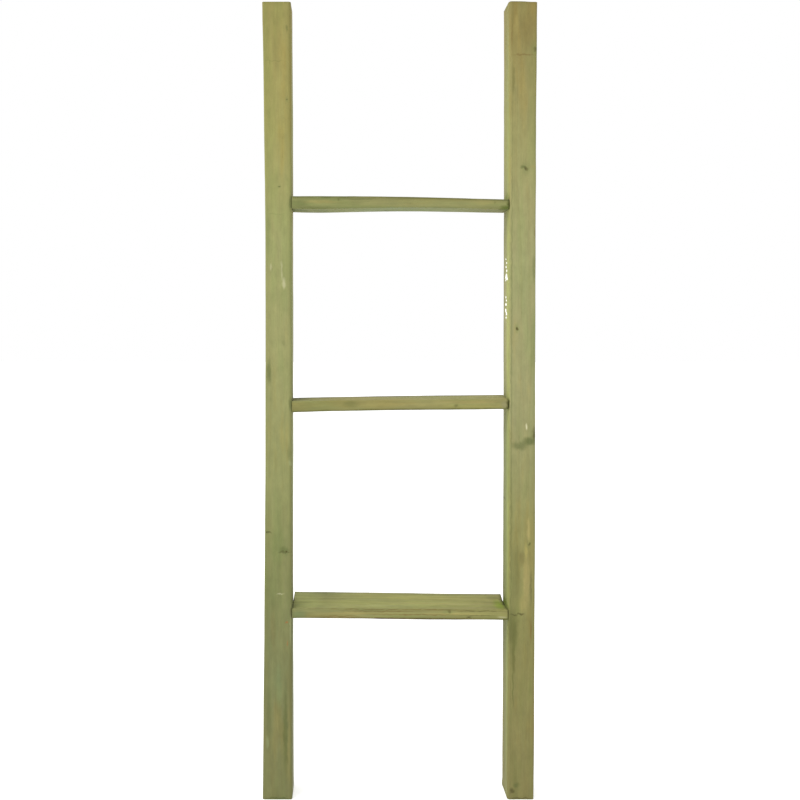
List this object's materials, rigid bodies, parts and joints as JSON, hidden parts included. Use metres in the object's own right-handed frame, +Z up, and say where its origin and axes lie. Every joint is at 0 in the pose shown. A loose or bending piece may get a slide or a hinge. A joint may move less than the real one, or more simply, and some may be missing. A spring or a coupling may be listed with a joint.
{
  "type": "timber ladder frame",
  "caption": "Upright timber ladder frame: square stiles joined by flat board treads butted between them and screwed through the stiles; the bottom tread stands out behind.",
  "frame": {"origin": "middle of the frame's bounding box, on the ground", "axes": "+Z up along the stiles, +X to the right seen from the front, -Y the front, where the treads are flush with the stiles; the bottom tread stands out behind, at +Y"},
  "size_m": [0.4084, 0.071, 1.2],
  "materials": {
    "stile_timber": "rough planed softwood with a green preservative tint, matt",
    "tread_timber": "rough planed softwood with a green and tan preservative tint, matt",
    "screw_steel": "yellow zinc plate, satin"
  },
  "bodies": {
    "root": {"stile_left": "stile_timber", "stile_right": "stile_timber", "tread_bottom": "tread_timber", "tread_middle": "tread_timber", "tread_top": "tread_timber", "screw_bottom_left_front": "screw_steel", "screw_bottom_left_back": "screw_steel", "screw_bottom_right_front": "screw_steel", "screw_bottom_right_back": "screw_steel", "screw_middle_left_front": "screw_steel", "screw_middle_left_back": "screw_steel", "screw_middle_right_front": "screw_steel", "screw_middle_right_back": "screw_steel", "screw_top_left_front": "screw_steel", "screw_top_left_back": "screw_steel", "screw_top_right_front": "screw_steel", "screw_top_right_back": "screw_steel"}
  },
  "joints": []
}
